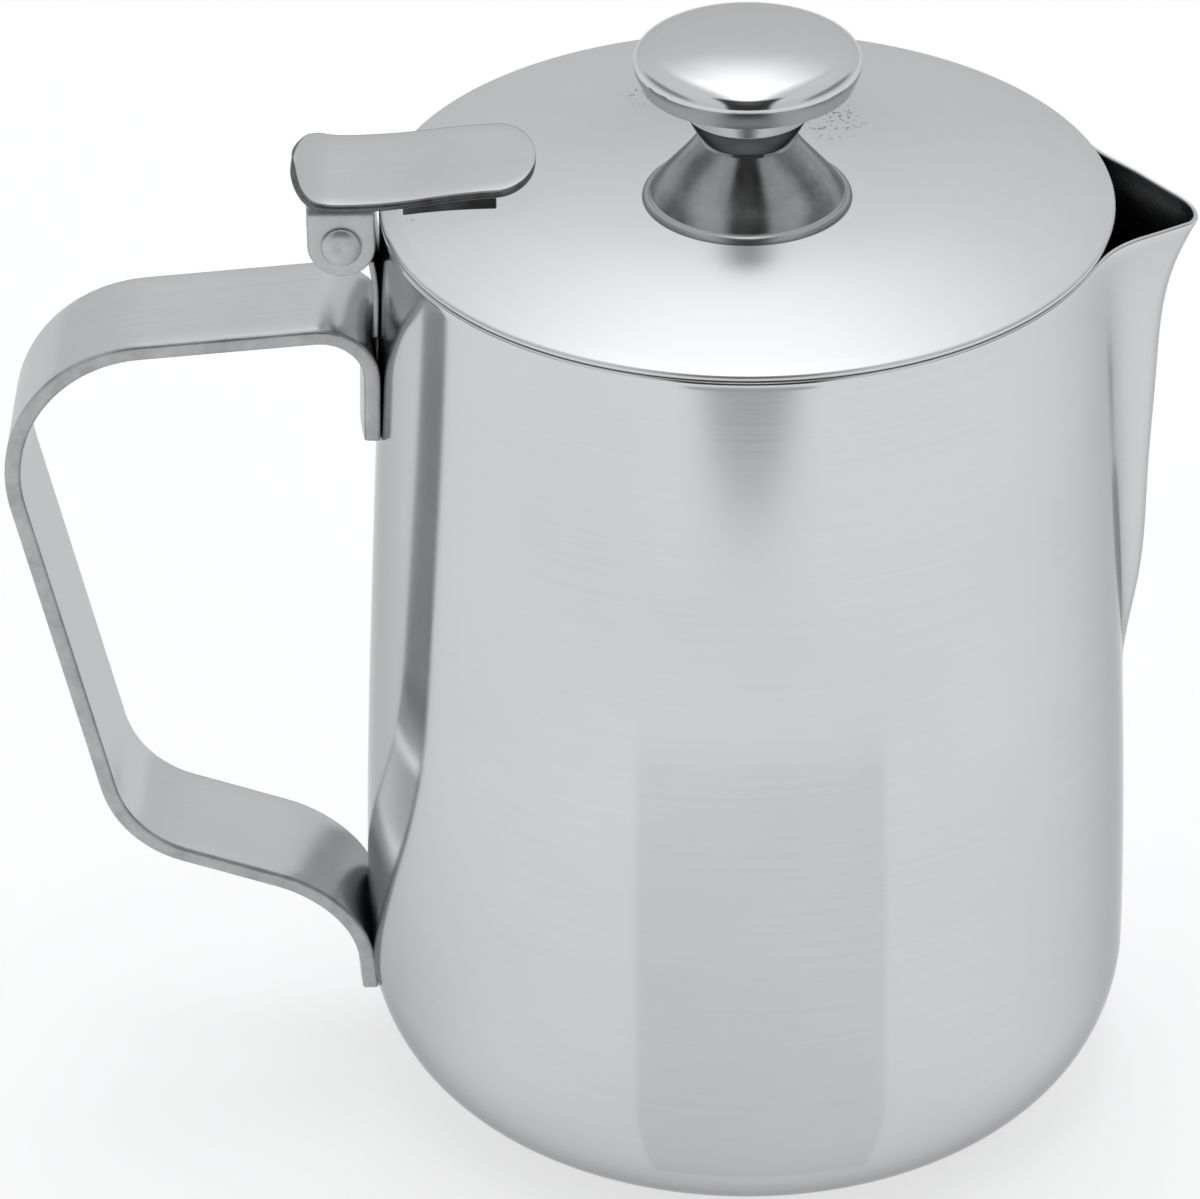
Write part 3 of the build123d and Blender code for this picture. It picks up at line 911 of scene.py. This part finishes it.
def make_knob_ring():
    """Ring under the knob: a step for the foot and a bevelled outer face."""
    low, high, radius = knob_ring_low.z, knob_ring_high.z, knob_ring_high.y
    step = foot_high.y + 0.2
    bevel = ((radius - 0.03, low + 0.3), (radius - 0.25, high - 0.3), (step + 0.2, high))
    outline = joined(
        ((SCREW_RADIUS, low), (radius - 0.15, low)),
        arc((radius - 0.15, low + 0.15), 0.15, -90, 20, 5),
        smooth_line(bevel, 8),
        ((step, high - 0.1), (step - 0.15, high - 0.3), (12.0, high - 0.3)),
        ((SCREW_RADIUS, high - 0.3),),
    )
    return turned("knob_ring", outline, [ring_steel], 200)


def make_knob_foot():
    """Trumpet-shaped foot, spun from sheet."""
    low, high, radius = foot_low.z, foot_high.z, foot_high.y
    outer = smooth_line(
        ((radius, low + 0.1), (9.5, 140.3), (6.7, high)), 40, (-0.72, 1), (-0.6, 1)
    )
    inner = outer[::-1] - np.array((0.75, 0.25))
    outline = joined(
        ((radius - 0.5, low - 0.15), (radius - 0.12, low - 0.05)),
        outer,
        ((SCREW_RADIUS, high), (SCREW_RADIUS, high - SHEET)),
        inner[3:],
        ((radius - 0.8, low - 0.15),),
    )
    # the foot's darker steel carries painted shade
    return turned("foot_skin", outline, [foot_painted_shade_steel], 200)


def make_knob_cup():
    """Cup that flares from a short stub to the lip under the cap."""
    low, lip, radius = cup_low.z, cup_high.z, cup_high.y
    outer = joined(
        smooth_line(((6.1, low + 0.1), (7.3, 145.9), (8.25, 147.8)), STUB_POINTS),
        smooth_line(((8.45, 148.0), (10.9, 150.6), (radius, lip - 0.2)), 24),
    )
    inner = outer[::-1] - np.array((0.8, -0.3))
    outline = joined(
        ((SCREW_RADIUS, low), (5.8, low)),
        outer,
        ((radius, lip), (radius - 0.7, lip)),
        inner[1:-1],
        ((5.4, low + SHEET), (SCREW_RADIUS, low + SHEET)),
    )
    # faces below the crease get the stub's painted shade
    crease = int(np.argmin(np.linalg.norm(outline - outer[STUB_POINTS - 1], axis=1)))
    return turned(
        "cup_skin",
        outline,
        [knob_steel, stub_painted_shade_steel],
        200,
        face_slots=lambda i, j: int(i < crease),
    )


def make_knob_cap():
    """Low dome that turns over a tight edge and closes on the cup."""
    radius, low, high = cap_high.y, cap_low.z, cap_high.z
    dome = smooth_line(
        (
            (0, high),
            (6.5, high - 0.24),
            (11.5, high - 0.82),
            (13.8, high - 1.38),
            (14.85, high - 2.15),
            (radius - 0.02, high - 3.2),
            (14.95, high - 4.5),
            (14.3, low),
        ),
        110,
        (1, 0),
        (-0.35, -1),
    )
    outline = joined(
        dome,
        ((13.9, low), (13.6, low + 0.4), (13.6, low + 1.1)),
        ((radius - 0.9, high - 3.4), (13.2, high - 2.2), (7.9, high - 1.2), (0, high - SHEET)),
    )
    return turned("cap_skin", outline, [knob_steel], 240, closed=False)


for knob_piece, node in (
    (make_knob_ring(), "knob_base_ring"),
    (make_knob_foot(), "knob_foot"),
    (make_knob_cup(), "knob_cup"),
    (make_knob_cap(), "knob_cap"),
):
    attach(knob_piece, "lid")
    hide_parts(node)
    # the satin lid is kept clear of a dark reflection round the knob
    knob_piece.visible_glossy = False

for node, material, slot in (
    ("knob_insert", plated, "brass"),
    ("knob_screw", plated, "pin_steel"),
    ("knob_screw_washer", pin_steel, "pin_steel"),
):
    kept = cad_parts[node]
    kept.data.materials.clear()
    kept.data.materials.append(material)


# --- studio ----------------------------------------------------------------------------------
# metres here
FLOOR_SIZE, FLOOR_TONE, FLOOR_GLOW = 15.0, 0.57, 0.92
# disc and apron cards: painted shadow on the floor, seen only in the jug's polish
DISC_CENTRE, DISC_RADII, DISC_LIFT, DISC_TONE = -0.355, (0.12, 0.066), 0.0008, 0.27
APRON_TURNS, APRON_REACH, APRON_LIFT, APRON_TONE = (-16.7, 20.5), 0.15, 0.0004, 0.505
LIGHT_LEVELS = (0.82, 2.3)
FLAG_STRENGTH = 0.6
DARKEST = 0.06
CAMERA_TARGET = (-20.34, 0, 71.43)  # millimetres
CAMERA_DISTANCE = 0.8966
CAMERA_ANGLES = (31.5, 0.54, -0.60)  # elevation, azimuth and roll
LENS, SENSOR = 192.8, 36.0


def floor_piece(name, corners, tone, glow):
    """Flat piece of the stage just above or on the floor, from corners in metres."""
    mesh = bpy.data.meshes.new(name)
    mesh.from_pydata(corners, [], [tuple(range(len(corners)))])
    material, nodes, links, shader = new_material(name)
    shader.inputs["Roughness"].default_value = 0.9
    shader.inputs["Specular IOR Level"].default_value = 0.1
    fine = noise(nodes, links, nodes.new("ShaderNodeTexCoord").outputs["Object"], 3.0, 2.0)
    colour = colour_mix(nodes, links, fine, (tone, tone, 1.01 * tone), (1.02 * tone,) * 3)
    links.new(colour, shader.inputs["Base Color"])
    links.new(colour, shader.inputs["Emission Color"])
    shader.inputs["Emission Strength"].default_value = glow
    mesh.materials.append(material)
    piece = bpy.data.objects.new(name, mesh)
    bpy.context.scene.collection.objects.link(piece)
    return piece


def make_floor():
    """Plain pale floor, with two darker cards of painted shadow that are seen only in the jug's
    polish.
    """
    size = FLOOR_SIZE
    corners = [(-size, -size, 0), (size, -size, 0), (size, size, 0), (-size, size, 0)]
    floor_piece("floor", corners, FLOOR_TONE, FLOOR_GLOW)
    # painted shadow: a darker disc in front, in place of the camera's shadow, seen in the polish as
    # the darker patch under the lid
    disc = []
    for turn in np.linspace(0, 2 * math.pi, 48, endpoint=False):
        across, deep = DISC_RADII[0] * math.cos(turn), DISC_RADII[1] * math.sin(turn)
        disc.append((across, DISC_CENTRE + deep, DISC_LIFT))
    # painted shadow: a darker apron close to the jug, in place of the jug's own shadow, seen in the
    # polish as the darker band low on its front
    inner, outer = [], []
    for turn in np.radians(np.linspace(*APRON_TURNS, 25)):
        foot = np.array((math.sin(turn), -math.cos(turn))) * BELLY_RADIUS * MM
        away = np.array((math.sin(2 * turn), -math.cos(2 * turn)))
        inner.append((*foot, APRON_LIFT))
        outer.append((*(foot + away * APRON_REACH), APRON_LIFT))
    apron = inner + outer[::-1]
    for name, outline, tone in (("painted_shadow_disc_card", disc, DISC_TONE), ("painted_shadow_apron_card", apron, APRON_TONE)):
        card = floor_piece(name, outline, tone, FLOOR_GLOW)
        card.visible_camera = False
        card.visible_diffuse = False
        card.visible_shadow = False


def make_world():
    """Soft studio: an even wall of light, brighter overhead, dark in front and at the sides."""
    world = bpy.data.worlds.new("studio")
    bpy.context.scene.world = world
    world.use_nodes = True
    nodes, links = world.node_tree.nodes, world.node_tree.links
    shade = nodes["Background"]
    direction = nodes.new("ShaderNodeTexCoord").outputs["Generated"]
    split = nodes.new("ShaderNodeSeparateXYZ")
    links.new(direction, split.inputs[0])
    x, y, z = split.outputs
    sideways = math_node(nodes, links, "ABSOLUTE", x)
    overhead = map_range(nodes, links, z, 0.50, 0.80, 0, 1)
    overhead.node.interpolation_type = "SMOOTHSTEP"
    middle = map_range(nodes, links, sideways, 0.03, 0.27, 1, 0.04)
    middle.node.interpolation_type = "SMOOTHSTEP"
    lamp = math_node(nodes, links, "MULTIPLY", overhead, middle)
    level = map_range(nodes, links, lamp, 0, 1, *LIGHT_LEVELS)
    # dark panel in front
    narrow = map_range(nodes, links, sideways, 0.32, 0.38, 1, 0)
    low = map_range(nodes, links, z, 0.93, 0.985, 1, 0)
    front = map_range(nodes, links, y, -0.05, -0.2, 0, 1)
    frontal = math_node(nodes, links, "MULTIPLY", narrow, low)
    panel = math_node(nodes, links, "MULTIPLY", frontal, front)
    # dark flags on both sides
    wide = map_range(nodes, links, sideways, 0.74, 0.86, 0, 1)
    rising = map_range(nodes, links, z, 0.12, 0.30, 0, 1)
    under = map_range(nodes, links, z, 0.50, 0.66, 1, 0)
    lateral = math_node(nodes, links, "MULTIPLY", wide, rising)
    flag = math_node(nodes, links, "MULTIPLY", lateral, under)
    weaker = math_node(nodes, links, "MULTIPLY", flag, FLAG_STRENGTH)
    dark = math_node(nodes, links, "MAXIMUM", panel, weaker)
    kept_light = map_range(nodes, links, dark, 0, 1, 1, DARKEST)
    strength = math_node(nodes, links, "MULTIPLY", level, kept_light)
    seen = nodes.new("ShaderNodeLightPath").outputs["Is Camera Ray"]
    plain = nodes.new("ShaderNodeMix")
    links.new(seen, plain.inputs[0])
    links.new(strength, plain.inputs[2])
    plain.inputs[3].default_value = 1.0
    links.new(plain.outputs[0], shade.inputs["Strength"])
    shade.inputs["Color"].default_value = (0.985, 0.993, 1.0, 1)


def make_camera():
    """Long-lens camera above the jug's near side, with the handle on the left."""
    target = Vector(CAMERA_TARGET) * MM
    elevation, azimuth, roll = (math.radians(angle) for angle in CAMERA_ANGLES)
    back = Vector(
        (
            math.sin(azimuth) * math.cos(elevation),
            -math.cos(azimuth) * math.cos(elevation),
            math.sin(elevation),
        )
    )
    right = (-back).cross(Vector((0, 0, 1))).normalized()
    up = right.cross(-back)
    level_right = right * math.cos(roll) + up * math.sin(roll)
    level_up = up * math.cos(roll) - right * math.sin(roll)
    data = bpy.data.cameras.new("camera")
    data.sensor_width = SENSOR
    data.lens = LENS
    data.clip_start, data.clip_end = 0.01, 100.0
    camera = bpy.data.objects.new("camera", data)
    place = target + back * CAMERA_DISTANCE
    camera.matrix_world = Matrix(
        [(*row, offset) for row, offset in zip(zip(level_right, level_up, back), place)]
        + [(0, 0, 0, 1)]
    )
    bpy.context.scene.collection.objects.link(camera)
    bpy.context.scene.camera = camera


make_floor()
make_world()
make_camera()
bpy.context.scene.view_settings.view_transform = "Standard"
